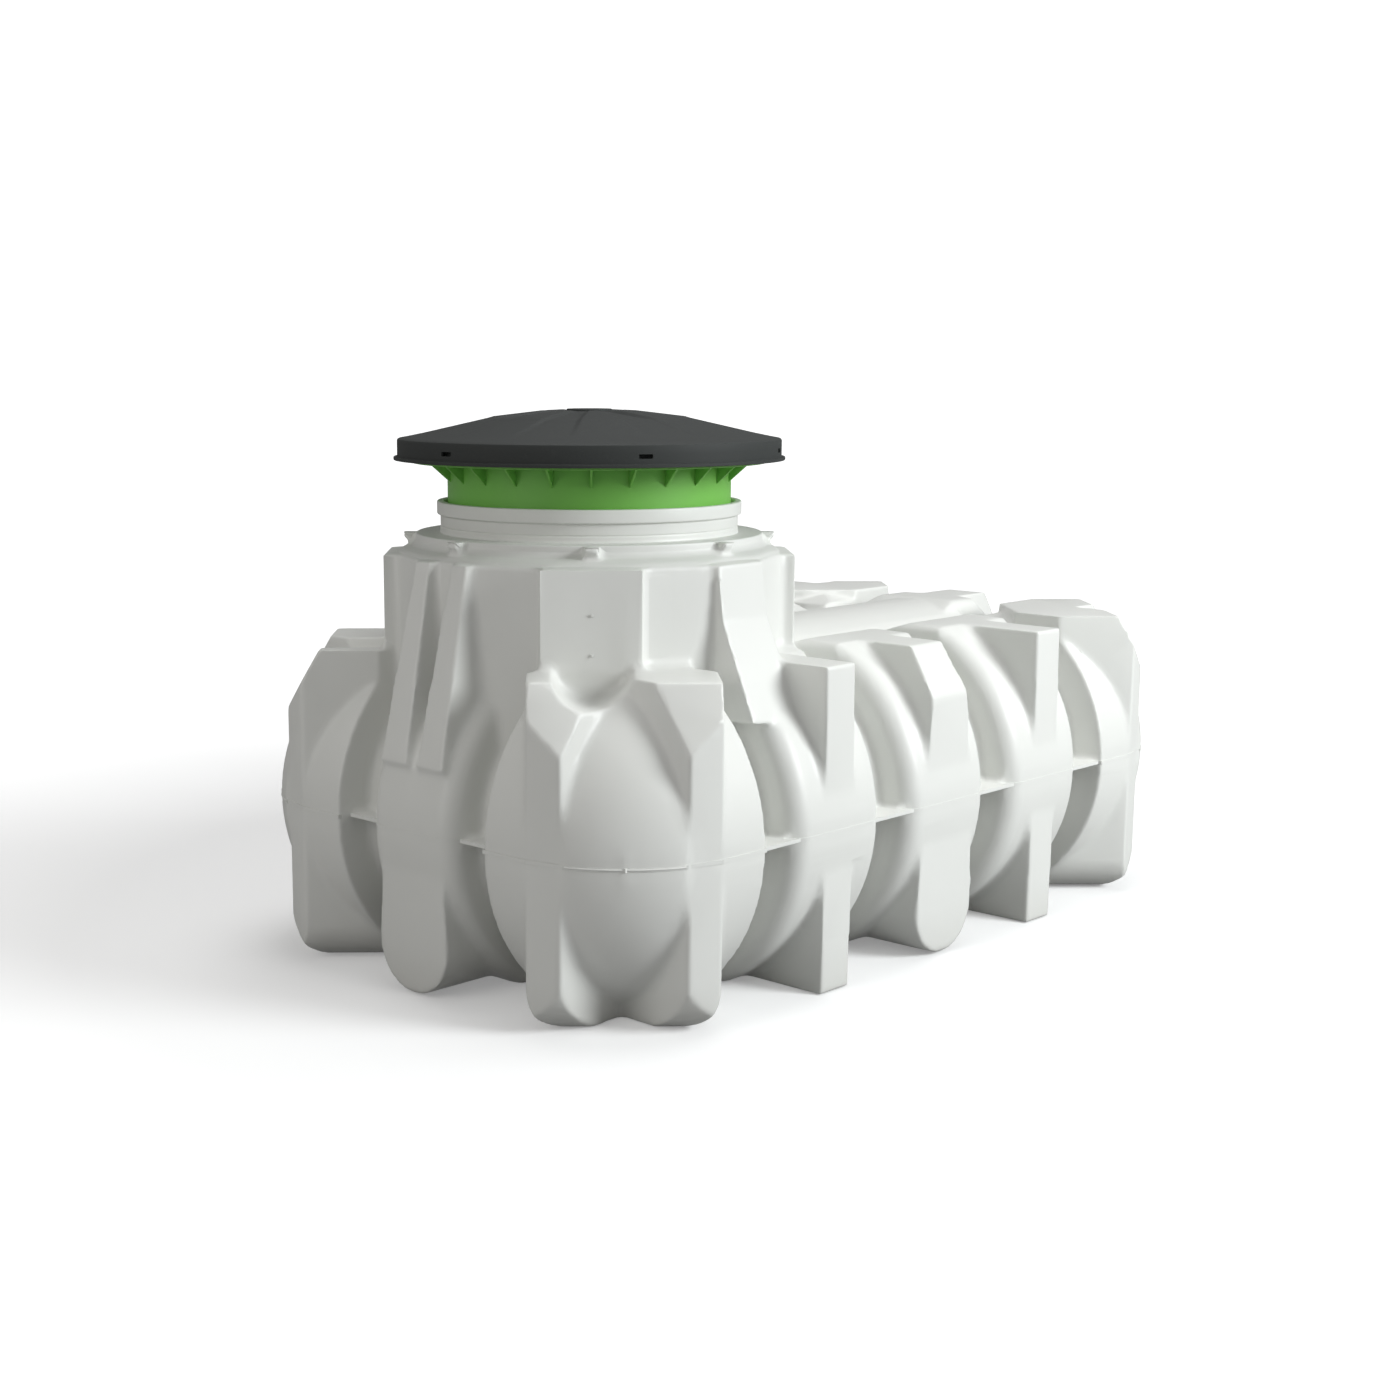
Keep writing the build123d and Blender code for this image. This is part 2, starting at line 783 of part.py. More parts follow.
# Lid
with BuildPart() as lid_rim:
    with BuildSketch(outward_plane((-tower_offset, 0, 0), 0)):
        with BuildLine():
            Polyline(
                (lid_radius - lid_wall, lid_bottom), (lid_radius + lip_width, lid_bottom),
                (lid_radius + lip_width, lid_bottom + lip_height), (lid_radius, lid_bottom + lip_height),
                (lid_radius, lid_shoulder - lid_wall), (lid_radius - lid_wall, lid_shoulder - lid_wall),
                close=True,
            )
        make_face()
    revolve(axis=Axis((-tower_offset, 0, 0), (0, 0, 1)))
    with BuildSketch(Plane.XY.offset(slot_bottom)):
        with Locations((-tower_offset, 0)):
            with PolarLocations(lid_radius, slot_count):
                Rectangle(4 * lid_wall, slot_width)
    extrude(amount=slot_height, mode=Mode.SUBTRACT)
finish(lid_rim.part, "lid_rim")

with BuildPart() as lid_crown:
    with BuildSketch(outward_plane((-tower_offset, 0, 0), 0)):
        with BuildLine():
            Polyline(
                (0, cap_height), (cap_radius, cap_height), (crown_radius, crown_height),
                (lid_radius, lid_shoulder), (lid_radius, lid_shoulder - lid_wall),
                (lid_radius - lid_wall, lid_shoulder - lid_wall),
            )
            Polyline(
                (lid_radius - lid_wall, lid_shoulder - lid_wall), (lid_radius - lid_wall, collar_top),
                (lid_seat, collar_top), (lid_seat, lid_shoulder), (crown_radius, crown_height - lid_wall),
                (cap_radius, cap_height - lid_wall), (0, cap_height - lid_wall), (0, cap_height),
            )
        make_face()
    revolve(axis=Axis((-tower_offset, 0, 0), (0, 0, 1)))
finish(lid_crown.part, "lid_crown")

with BuildPart() as lid_cap:
    with BuildSketch(Plane.XY.offset(cap_height)):
        with Locations((-tower_offset, 0)):
            Circle(cap_radius)
    extrude(amount=cap_thickness)
    chamfer(lid_cap.edges().group_by(Axis.Z)[-1], length=cap_thickness / 2)
finish(lid_cap.part, "lid_cap")
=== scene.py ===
import json
import bpy
import bmesh
from math import atan2, cos, hypot, pi, radians, sin, tau
from mathutils import Vector, Matrix


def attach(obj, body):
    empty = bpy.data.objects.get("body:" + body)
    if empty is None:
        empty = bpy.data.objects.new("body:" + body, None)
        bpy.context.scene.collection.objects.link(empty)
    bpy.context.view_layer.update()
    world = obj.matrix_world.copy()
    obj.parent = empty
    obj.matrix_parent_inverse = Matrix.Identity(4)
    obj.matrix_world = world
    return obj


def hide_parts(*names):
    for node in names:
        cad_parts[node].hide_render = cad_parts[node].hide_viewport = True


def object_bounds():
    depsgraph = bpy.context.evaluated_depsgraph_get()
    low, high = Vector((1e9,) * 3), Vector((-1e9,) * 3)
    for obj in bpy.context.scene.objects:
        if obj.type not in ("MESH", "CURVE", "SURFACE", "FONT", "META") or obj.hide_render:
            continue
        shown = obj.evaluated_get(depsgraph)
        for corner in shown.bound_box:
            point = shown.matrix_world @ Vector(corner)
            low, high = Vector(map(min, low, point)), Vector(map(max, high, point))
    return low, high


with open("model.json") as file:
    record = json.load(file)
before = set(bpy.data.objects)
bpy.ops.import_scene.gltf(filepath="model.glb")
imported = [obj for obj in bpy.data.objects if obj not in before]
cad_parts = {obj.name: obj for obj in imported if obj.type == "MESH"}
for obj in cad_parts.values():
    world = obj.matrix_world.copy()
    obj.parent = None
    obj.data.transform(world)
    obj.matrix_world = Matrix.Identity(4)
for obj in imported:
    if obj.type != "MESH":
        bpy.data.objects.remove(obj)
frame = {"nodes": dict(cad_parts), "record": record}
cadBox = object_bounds()
nodes = frame["nodes"]
record = frame["record"]
scene = bpy.context.scene
bodyNodes = record["behaviour"]["bodies"]
towerX = -0.512  # axis of the access tower, the shaft and the lid


# Shader building

class Wire:
    # One output of a shader node, so that a pattern is written as a sum
    def __init__(self, paint, socket):
        self.paint = paint
        self.socket = socket

    def maths(self, operation, first, second):
        return self.paint.add("ShaderNodeMath", {"operation": operation}, {0: first, 1: second})

    def __add__(self, other):
        return self.maths("ADD", self, other)

    def __radd__(self, other):
        return self.maths("ADD", other, self)

    def __sub__(self, other):
        return self.maths("SUBTRACT", self, other)

    def __rsub__(self, other):
        return self.maths("SUBTRACT", other, self)

    def __mul__(self, other):
        return self.maths("MULTIPLY", self, other)

    def __rmul__(self, other):
        return self.maths("MULTIPLY", other, self)


class Paint:
    def __init__(self, name):
        self.material = bpy.data.materials.new(name)
        self.material.use_nodes = True
        self.tree = self.material.node_tree
        self.tree.nodes.clear()

    def add(self, kind, settings=None, inputs=None, output=0):
        node = self.tree.nodes.new(kind)
        for key, value in (settings or {}).items():
            if key == "stops":
                ramp = node.color_ramp
                while len(ramp.elements) < len(value):
                    ramp.elements.new(0.5)
                for element, (place, tone) in zip(ramp.elements, value):
                    element.position = place
                    element.color = tone if len(tone) == 4 else (*tone, 1)
            else:
                setattr(node, key, value)
        for key, value in (inputs or {}).items():
            if isinstance(value, Wire):
                self.tree.links.new(value.socket, node.inputs[key])
            else:
                node.inputs[key].default_value = value
        return Wire(self, node.outputs[output])

    def place(self, scale=(1, 1, 1), location=(0, 0, 0)):
        here = self.add("ShaderNodeTexCoord", output="Object")
        return self.add("ShaderNodeMapping", {}, {"Vector": here, "Location": location, "Scale": scale})

    def noise(self, scale, detail, roughness=0.5, vector=None):
        return self.add("ShaderNodeTexNoise", {}, {
            "Vector": vector or self.place(), "Scale": scale, "Detail": detail, "Roughness": roughness})

    def ramp(self, factor, stops):
        return self.add("ShaderNodeValToRGB", {"stops": stops}, {"Fac": factor})

    def blend(self, factor, first, second, kind="MIX"):
        return self.add("ShaderNodeMix", {"data_type": "RGBA", "blend_type": kind},
                        {0: factor, 6: first, 7: second}, output=2)

    def bump(self, height, strength, distance, under=None):
        inputs = {"Height": height, "Strength": strength, "Distance": distance}
        if under:
            inputs["Normal"] = under
        return self.add("ShaderNodeBump", {}, inputs)

    def finish(self, inputs):
        shader = self.add("ShaderNodeBsdfPrincipled", {}, inputs)
        return self.output(shader)

    def output(self, surface):
        last = self.tree.nodes.new("ShaderNodeOutputMaterial")
        self.tree.links.new(surface.socket, last.inputs["Surface"])
        return self.material


mouldedPlastic = {
    "colour": (0.74, 0.745, 0.72),  # warm white
    "shade": (0.69, 0.695, 0.665),
    # darker, browner colour blended in towards the foot
    "footTone": (0.50, 0.48, 0.42),
    "rubbed": (0.86, 0.86, 0.84),
    "roughness": 0.40,
}


def makeMouldedPlastic():
    paint = Paint("mouldedPlastic")
    clouds = paint.noise(2.2, 4)
    streaks = paint.noise(9, 5, 0.6, paint.place((1, 1, 0.18)))
    colour = paint.blend(clouds, (*mouldedPlastic["colour"], 1), (*mouldedPlastic["shade"], 1))
    height = paint.add("ShaderNodeSeparateXYZ", {}, {0: paint.place()}, output=2)
    # Darker, browner colour towards the foot, broken up by the streaks
    footDarkening = paint.ramp(height + streaks * 0.10, [(0.03, (1, 1, 1)), (0.16, (0, 0, 0))])
    colour = paint.blend(footDarkening * (streaks * 0.35), colour, (*mouldedPlastic["footTone"], 1))
    rubs = paint.ramp(paint.noise(38, 6, 0.7, paint.place((1, 1, 3))), [(0.66, (0, 0, 0)), (0.74, (1, 1, 1))])
    colour = paint.blend(rubs * 0.10, colour, (*mouldedPlastic["rubbed"], 1))
    grain = paint.noise(900, 2)
    skin = paint.noise(7, 2)
    rough = mouldedPlastic["roughness"] - 0.05 + clouds * 0.08 + streaks * 0.06 + rubs * 0.1
    under = paint.bump(skin, 0.35, 0.004)
    return paint.finish({
        "Base Color": colour, "Roughness": rough, "Specular IOR Level": 0.42,
        "Normal": paint.bump(grain, 0.12, 0.0006, under)})


shaftPlastic = {
    "colour": (0.205, 0.52, 0.10),
    "shade": (0.17, 0.46, 0.08),
    "roughness": 0.36,
}


def makeShaftPlastic():
    paint = Paint("shaftPlastic")
    clouds = paint.noise(3, 4)
    lines = paint.noise(30, 3, 0.6, paint.place((0.15, 0.15, 6)))
    colour = paint.blend(clouds, (*shaftPlastic["colour"], 1), (*shaftPlastic["shade"], 1))
    rough = shaftPlastic["roughness"] + clouds * 0.08 + lines * 0.06
    under = paint.bump(lines, 0.12, 0.001)
    return paint.finish({
        "Base Color": colour, "Roughness": rough, "Specular IOR Level": 0.4,
        "Normal": paint.bump(paint.noise(800, 2), 0.1, 0.0005, under)})


lidPlastic = {
    "colour": (0.038, 0.041, 0.040),
    "worn": (0.062, 0.066, 0.064),
    "roughness": 0.58,
}


def makeLidPlastic():
    paint = Paint("lidPlastic")
    clouds = paint.noise(4, 5)
    scuffs = paint.ramp(paint.noise(60, 6, 0.7), [(0.60, (0, 0, 0)), (0.72, (1, 1, 1))])
    colour = paint.blend(scuffs * 0.3 + clouds * 0.15, (*lidPlastic["colour"], 1), (*lidPlastic["worn"], 1))
    rough = lidPlastic["roughness"] + clouds * 0.1 + scuffs * 0.08
    pebble = paint.add("ShaderNodeTexVoronoi", {}, {"Vector": paint.place(), "Scale": 420})
    return paint.finish({
        "Base Color": colour, "Roughness": rough, "Specular IOR Level": 0.18,
        "Normal": paint.bump(pebble, 0.25, 0.0006)})


sealRubber = {
    "colour": (0.022, 0.022, 0.023),
    "bloom": (0.045, 0.044, 0.042),
    "roughness": 0.62,
}


def makeSealRubber():
    paint = Paint("sealRubber")
    bloom = paint.noise(24, 5, 0.6)
    colour = paint.blend(bloom, (*sealRubber["colour"], 1), (*sealRubber["bloom"], 1))
    return paint.finish({
        "Base Color": colour, "Roughness": sealRubber["roughness"] + bloom * 0.15,
        "Normal": paint.bump(paint.noise(500, 3), 0.2, 0.0005)})


finishes = {
    "tank_plastic": makeMouldedPlastic(),
    "shaft_green": makeShaftPlastic(),
    "lid_grey": makeLidPlastic(),
    "seal_rubber": makeSealRubber(),
}
for part in record["subparts"]:
    mesh = nodes[part["node"]].data
    mesh.materials.clear()
    mesh.materials.append(finishes[part["material_slot"]])
print("finishes made")


# Helpers for meshes

def newPiece(name, mesh, slotName, bodyName, *replaced):
    piece = bpy.data.objects.new(name, mesh)
    scene.collection.objects.link(piece)
    mesh.materials.clear()
    mesh.materials.append(finishes[slotName])
    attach(piece, bodyName)
    if replaced:
        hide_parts(*replaced)
    return piece


def applied(work, name):
    # The work object's mesh with its modifiers, and the work object removed
    graph = bpy.context.evaluated_depsgraph_get()
    mesh = bpy.data.meshes.new_from_object(work.evaluated_get(graph))
    mesh.name = name
    old = work.data
    bpy.data.objects.remove(work)
    if isinstance(old, bpy.types.Mesh) and old.users == 0:
        bpy.data.meshes.remove(old)
    return mesh


def workObject(name, mesh):
    work = bpy.data.objects.new(name, mesh)
    scene.collection.objects.link(work)
    return work


def shaded(mesh, angle):
    # Smooth faces, with edges sharper than the angle kept crisp
    shape = bmesh.new()
    shape.from_mesh(mesh)
    for face in shape.faces:
        face.smooth = True
    for edge in shape.edges:
        edge.smooth = len(edge.link_faces) == 2 and edge.calc_face_angle(0) < radians(angle)
    shape.to_mesh(mesh)
    shape.free()
    return mesh


def lathe(name, profile, columns, angle=40):
    # Closed profile of (radius, height), turned about the tower's axis
    shape = bmesh.new()
    rings = []
    for step in range(columns):
        turn = tau * step / columns
        rings.append([shape.verts.new((towerX + r * cos(turn), r * sin(turn), z)) for r, z in profile])
    for step in range(columns):
        ring, after = rings[step], rings[(step + 1) % columns]
        for here in range(len(profile)):
            there = (here + 1) % len(profile)
            shape.faces.new((ring[here], after[here], after[there], ring[there]))
    bmesh.ops.remove_doubles(shape, verts=shape.verts, dist=1e-6)
    bmesh.ops.recalc_face_normals(shape, faces=shape.faces)
    mesh = bpy.data.meshes.new(name)
    shape.to_mesh(mesh)
    shape.free()
    return shaded(mesh, angle)


def rounded(profile, radius, steps=4):
    # Profile with each corner turned into a small arc
    points = []
    count = len(profile)
    for index in range(count):
        before = Vector(profile[index - 1])
        corner = Vector(profile[index])
        after = Vector(profile[(index + 1) % count])
        reach = min(radius, (before - corner).length * 0.45, (after - corner).length * 0.45)
        start = corner + (before - corner).normalized() * reach
        end = corner + (after - corner).normalized() * reach
        for step in range(steps + 1):
            t = step / steps
            point = start * (1 - t) ** 2 + corner * 2 * t * (1 - t) + end * t * t
            points.append((point.x, point.y))
    return points


# The moulded tank: both half shells and the tower in one soft skin

tankSkin = {
    "voxel": 0.0062,
    "seamScale": (0.985, 0.975),  # draws the flange in, so that the CAD flange stands out in the grooves
    "closing": 0.004,  # put on before the remesh and taken off after it, so that thin walls stay whole
    "smoothing": 10,
    "wall": 0.006,
    "facesPerHalf": 88000,
    "crease": 50,  # degrees
    "neckCut": 0.3225,
    "roofLow": 0.92,  # the rim of the neck hole lies above it
    "seam": 0.350,
}

# Solids added before the remesh. The plates close the backs of the pipe seats, the blocks close slits at
# the roots of the corner fins, and the plug closes the neck.
seatPlate = {"turns": (135, 225), "reach": 0.437, "height": 0.685, "size": (0.014, 0.16, 0.11)}
cornerBlock = {"reach": 0.728, "aside": -0.2925, "height": 0.680, "size": (0.032, 0.19, 0.030)}
neckPlug = {"radius": 0.345, "depth": 0.03, "height": 0.930}


def skinParts():
    skip = ("neck_ring", "neck_seal", "seam_flange")
    return [name for name in bodyNodes["tank"] if name not in skip]


def addBox(shape, centre, turn, size):
    place = Matrix.Translation(centre) @ Matrix.Rotation(turn, 4, "Z") @ Matrix.Diagonal((*size, 1))
    bmesh.ops.create_cube(shape, size=1, matrix=place)


def thickened(mesh, scaleX, scaleY):
    # Copy of a CAD mesh, scaled and then grown along its normals
    one = bmesh.new()
    one.from_mesh(mesh)
    for vert in one.verts:
        vert.co.x *= scaleX
        vert.co.y *= scaleY
    bmesh.ops.remove_doubles(one, verts=one.verts, dist=1e-6)
    one.normal_update()
    for vert in one.verts:
        vert.co += vert.normal * tankSkin["closing"]
    part = bpy.data.meshes.new("part")
    one.to_mesh(part)
    one.free()
    return part


def makeTankSkin():
    shape = bmesh.new()
    parts = [thickened(nodes[name].data, 1, 1) for name in skinParts()]
    parts.append(thickened(nodes["seam_flange"].data, *tankSkin["seamScale"]))
    for part in parts:
        shape.from_mesh(part)
        bpy.data.meshes.remove(part)
    for turn in seatPlate["turns"]:
        away = Vector((cos(radians(turn)), sin(radians(turn)), 0)) * seatPlate["reach"]
        addBox(shape, away + Vector((towerX, 0, seatPlate["height"])), radians(turn), seatPlate["size"])
    for sideX in (-1, 1):
        for sideY in (-1, 1):
            along = Vector((sideX, sideY, 0)) * (cornerBlock["reach"] / 2 ** 0.5)
            aside = Vector((-sideX, sideY, 0)) * (cornerBlock["aside"] / 2 ** 0.5)
            centre = along + aside + Vector((0, 0, cornerBlock["height"]))
            addBox(shape, centre, atan2(sideY, sideX), cornerBlock["size"])
    bmesh.ops.create_cone(
        shape, cap_ends=True, segments=64, radius1=neckPlug["radius"], radius2=neckPlug["radius"],
        depth=neckPlug["depth"], matrix=Matrix.Translation((towerX, 0, neckPlug["height"])))
    raw = bpy.data.meshes.new("rawSkin")
    shape.to_mesh(raw)
    shape.free()
    work = workObject("rawSkin", raw)
    remesh = work.modifiers.new("remesh", "REMESH")
    remesh.mode = "VOXEL"
    remesh.voxel_size = tankSkin["voxel"]
    mesh = applied(work, "tankSkin")
    print("skin remeshed", len(mesh.polygons))
    return mesh


def linkedSkin(mesh):
    # Keeps the surface that is linked to the skin's outermost point
    shape = bmesh.new()
    shape.from_mesh(mesh)
    shape.verts.ensure_lookup_table()
    start = max(shape.verts, key=lambda vert: vert.co.x)
    for vert in shape.verts:
        vert.tag = False
    start.tag = True
    front = [start]
    while front:
        ahead = []
        for vert in front:
            for edge in vert.link_edges:
                other = edge.other_vert(vert)
                if not other.tag:
                    other.tag = True
                    ahead.append(other)
        front = ahead
    bmesh.ops.delete(shape, geom=[vert for vert in shape.verts if not vert.tag], context="VERTS")
    shape.to_mesh(mesh)
    shape.free()
    print("loose surfaces removed", len(mesh.polygons))
    return mesh


def softened(mesh):
    work = workObject("softSkin", mesh)
    thin = work.modifiers.new("thin", "DISPLACE")
    thin.strength = -tankSkin["closing"]
    thin.mid_level = 0
    smooth = work.modifiers.new("smooth", "SMOOTH")
    smooth.factor = 0.5
    smooth.iterations = tankSkin["smoothing"]
    fewer = work.modifiers.new("fewer", "DECIMATE")
    fewer.ratio = min(1, tankSkin["facesPerHalf"] / len(mesh.polygons))
    return applied(work, "softSkin")


def clamped(mesh, lowest, highest):
    # Keeps the skin inside the CAD model's box, and on its own side of the seam
    low, high = cadBox
    for vert in mesh.vertices:
        x, y, z = vert.co
        x = max(low[0], min(high[0], x))
        y = max(low[1], min(high[1], y))
        vert.co = (x, y, max(lowest, min(highest, z)))
    return mesh


def halfSkin(whole, name, keepUpper):
    shape = bmesh.new()
    shape.from_mesh(whole)
    geometry = shape.verts[:] + shape.edges[:] + shape.faces[:]
    bmesh.ops.bisect_plane(shape, geom=geometry, plane_co=(0, 0, tankSkin["seam"]), plane_no=(0, 0, 1),
                           clear_inner=keepUpper, clear_outer=not keepUpper)
    if keepUpper:
        cut = tankSkin["neckCut"]
        inside = [vert for vert in shape.verts
                  if vert.co.z > tankSkin["roofLow"] and hypot(vert.co.x - towerX, vert.co.y) < cut]
        bmesh.ops.delete(shape, geom=inside, context="VERTS")
        for edge in shape.edges:
            if len(edge.link_faces) == 1:
                for vert in edge.verts:
                    if vert.co.z > 0.9:
                        away = Vector((vert.co.x - towerX, vert.co.y))
                        away = away.normalized() * cut
                        vert.co.x, vert.co.y = towerX + away.x, away.y
    mesh = bpy.data.meshes.new(name)
    shape.to_mesh(mesh)
    shape.free()
    work = workObject(name, mesh)
    wall = work.modifiers.new("wall", "SOLIDIFY")
    wall.thickness = tankSkin["wall"]
    wall.offset = -1
    wall.use_even_offset = False
    solid = applied(work, name)
    if keepUpper:
        clamped(solid, tankSkin["seam"], cadBox[1][2])
    else:
        clamped(solid, cadBox[0][2], tankSkin["seam"])
    return shaded(solid, tankSkin["crease"])


wholeSkin = softened(linkedSkin(makeTankSkin()))
print("skin softened", len(wholeSkin.polygons))
upperNames = [name for name in skinParts() if name.startswith(("upper_", "tower_", "top_"))]
lowerNames = [name for name in skinParts() if name not in upperNames]
upperMesh = halfSkin(wholeSkin, "upperShell", True)
lowerMesh = halfSkin(wholeSkin, "lowerShell", False)
upperShell = newPiece("upperShell", upperMesh, "tank_plastic", "tank", *upperNames)
lowerShell = newPiece("lowerShell", lowerMesh, "tank_plastic", "tank", *lowerNames)
print("shells made", len(upperShell.data.polygons), len(lowerShell.data.polygons))


# Bead across each eye, along the seam

eyeBead = {
    "x": 0.7344, "y": 0.3095, "radius": 0.3212, "halfTurn": 21.5, "thickness": 0.0024,
    "steps": 40, "sides": 10,
}


def addEyeBead(shape, sideX, sideY):
    sides = eyeBead["sides"]
    rings = []
    for step in range(eyeBead["steps"] + 1):
        turn = radians(45 + eyeBead["halfTurn"] * (step / (eyeBead["steps"] / 2) - 1))
        ring = []
        for around in range(sides):
            angle = tau * around / sides
            radius = eyeBead["radius"] + eyeBead["thickness"] * cos(angle)
            x = sideX * (eyeBead["x"] + radius * cos(turn))
            y = sideY * (eyeBead["y"] + radius * sin(turn))
            ring.append(shape.verts.new((x, y, tankSkin["seam"] + eyeBead["thickness"] * sin(angle))))
        rings.append(ring)
    for ring, after in zip(rings, rings[1:]):
        for here in range(sides):
            there = (here + 1) % sides
            shape.faces.new((ring[here], after[here], after[there], ring[there]))
    shape.faces.new(rings[0])
    shape.faces.new(rings[-1])


def makeEyeBeads():
    shape = bmesh.new()
    for sideX in (-1, 1):
        for sideY in (-1, 1):
            addEyeBead(shape, sideX, sideY)
    bmesh.ops.recalc_face_normals(shape, faces=shape.faces)
    mesh = bpy.data.meshes.new("eyeBeads")
    shape.to_mesh(mesh)
    shape.free()
    return shaded(mesh, 50)


newPiece("eyeBeads", makeEyeBeads(), "tank_plastic", "tank")


# Neck, roof step and seal

neckRing = {
    "bore": 0.319, "wall": 0.327, "bead": 0.3345, "foot": 0.946, "footFlare": 0.003, "footHeight": 0.004,
    "grooveRadius": 0.3255, "groove": (0.958, 0.9605, 0.963), "beadFoot": 0.985, "beadSlope": 0.002,
    "top": 1.015, "rounding": 0.003,
}
below = neckRing["foot"] - neckRing["footHeight"]
above = neckRing["foot"] + neckRing["footHeight"]
grooveLow, grooveMiddle, grooveHigh = neckRing["groove"]
neckProfile = rounded([
    (neckRing["bore"], below), (neckRing["wall"] + neckRing["footFlare"], below),
    (neckRing["wall"], above), (neckRing["wall"], grooveLow),
    (neckRing["grooveRadius"], grooveMiddle), (neckRing["wall"], grooveHigh),
    (neckRing["wall"], neckRing["beadFoot"]),
    (neckRing["bead"], neckRing["beadFoot"] + neckRing["beadSlope"]),
    (neckRing["bead"], neckRing["top"]), (neckRing["bore"], neckRing["top"])], neckRing["rounding"])
newPiece("neckRing", lathe("neckRing", neckProfile, 160), "tank_plastic", "tank", "neck_ring")

roofStep = {"inner": 0.324, "outer": 0.381, "top": 0.9465, "foot": 0.925, "rounding": 0.004}
roofProfile = rounded([
    (roofStep["inner"], roofStep["foot"]), (roofStep["outer"], roofStep["foot"]),
    (roofStep["outer"], roofStep["top"]), (roofStep["inner"], roofStep["top"])], roofStep["rounding"])
newPiece("roofStep", lathe("roofStep", roofProfile, 160), "tank_plastic", "tank")

neckSeal = {"inner": 0.3115, "outer": 0.319, "foot": 0.955, "top": 0.979, "rounding": 0.003}
sealProfile = rounded([
    (neckSeal["inner"], neckSeal["foot"]), (neckSeal["outer"], neckSeal["foot"]),
    (neckSeal["outer"], neckSeal["top"]), (neckSeal["inner"], neckSeal["top"])], neckSeal["rounding"])
newPiece("neckSeal", lathe("neckSeal", sealProfile, 128), "seal_rubber", "tank", "neck_seal")
print("neck made")


# Ring of blocks, used for the lugs of the roof, the gussets of the shaft and the marks on the pads

def ringTree():
    tree = bpy.data.node_groups.new("blocksOnRing", "GeometryNodeTree")
    face = tree.interface
    face.new_socket("Geometry", in_out="OUTPUT", socket_type="NodeSocketGeometry")
    inputs = {}
    for name, kind in (
            ("Count", "NodeSocketInt"), ("Radius", "NodeSocketFloat"), ("Start Angle", "NodeSocketFloat"),
            ("Centre", "NodeSocketVector"), ("Block Size", "NodeSocketVector"), ("Taper", "NodeSocketFloat"),
            ("Finish", "NodeSocketMaterial")):
        inputs[name] = face.new_socket(name, in_out="INPUT", socket_type=kind).identifier

    def add(kind, **settings):
        node = tree.nodes.new(kind)
        for key, value in settings.items():
            setattr(node, key, value)
        return node

    def link(source, target):
        tree.links.new(source, target)

    given = add("NodeGroupInput")
    circle = add("GeometryNodeMeshCircle")
    link(given.outputs["Count"], circle.inputs["Vertices"])
    link(given.outputs["Radius"], circle.inputs["Radius"])
    index = add("GeometryNodeInputIndex")
    step = add("ShaderNodeMath", operation="DIVIDE")
    step.inputs[0].default_value = tau
    link(given.outputs["Count"], step.inputs[1])
    turn = add("ShaderNodeMath", operation="MULTIPLY")
    link(index.outputs[0], turn.inputs[0])
    link(step.outputs[0], turn.inputs[1])
    facing = add("ShaderNodeCombineXYZ")
    link(turn.outputs[0], facing.inputs[2])

    block = add("GeometryNodeMeshCube")
    link(given.outputs["Block Size"], block.inputs["Size"])
    # The outer lower edge is drawn in by the taper, which makes a gusset of the block
    here = add("GeometryNodeInputPosition")
    parts = add("ShaderNodeSeparateXYZ")
    link(here.outputs[0], parts.inputs[0])
    outer = add("ShaderNodeMath", operation="GREATER_THAN")
    link(parts.outputs[0], outer.inputs[0])
    low = add("ShaderNodeMath", operation="LESS_THAN")
    link(parts.outputs[2], low.inputs[0])
    both = add("ShaderNodeMath", operation="MULTIPLY")
    link(outer.outputs[0], both.inputs[0])
    link(low.outputs[0], both.inputs[1])
    for node in (outer, low):
        node.inputs[1].default_value = 0
    inward = add("ShaderNodeMath", operation="MULTIPLY")
    inward.inputs[1].default_value = -1
    link(given.outputs["Taper"], inward.inputs[0])
    shift = add("ShaderNodeCombineXYZ")
    link(inward.outputs[0], shift.inputs[0])
    tapered = add("GeometryNodeSetPosition")
    link(block.outputs[0], tapered.inputs["Geometry"])
    link(both.outputs[0], tapered.inputs["Selection"])
    link(shift.outputs[0], tapered.inputs["Offset"])

    copies = add("GeometryNodeInstanceOnPoints")
    link(circle.outputs[0], copies.inputs["Points"])
    link(tapered.outputs[0], copies.inputs["Instance"])
    link(facing.outputs[0], copies.inputs["Rotation"])
    spin = add("ShaderNodeCombineXYZ")
    link(given.outputs["Start Angle"], spin.inputs[2])
    placed = add("GeometryNodeTransform")
    link(copies.outputs[0], placed.inputs["Geometry"])
    link(given.outputs["Centre"], placed.inputs["Translation"])
    link(spin.outputs[0], placed.inputs["Rotation"])
    real = add("GeometryNodeRealizeInstances")
    link(placed.outputs[0], real.inputs[0])
    painted = add("GeometryNodeSetMaterial")
    link(real.outputs[0], painted.inputs["Geometry"])
    link(given.outputs["Finish"], painted.inputs["Material"])
    out = add("NodeGroupOutput")
    link(painted.outputs[0], out.inputs[0])
    return tree, inputs


blocksOnRing, ringInputs = ringTree()


def ringPiece(name, values, slotName, bodyName, bevel):
    work = workObject(name, bpy.data.meshes.new(name))
    ring = work.modifiers.new("ring", "NODES")
    ring.node_group = blocksOnRing
    for key, value in {**values, "Finish": finishes[slotName]}.items():
        ring[ringInputs[key]] = value
    edge = work.modifiers.new("edge", "BEVEL")
    edge.width = bevel
    edge.segments = 2
    edge.limit_method = "ANGLE"
    return newPiece(name, shaded(applied(work, name), 40), slotName, bodyName)


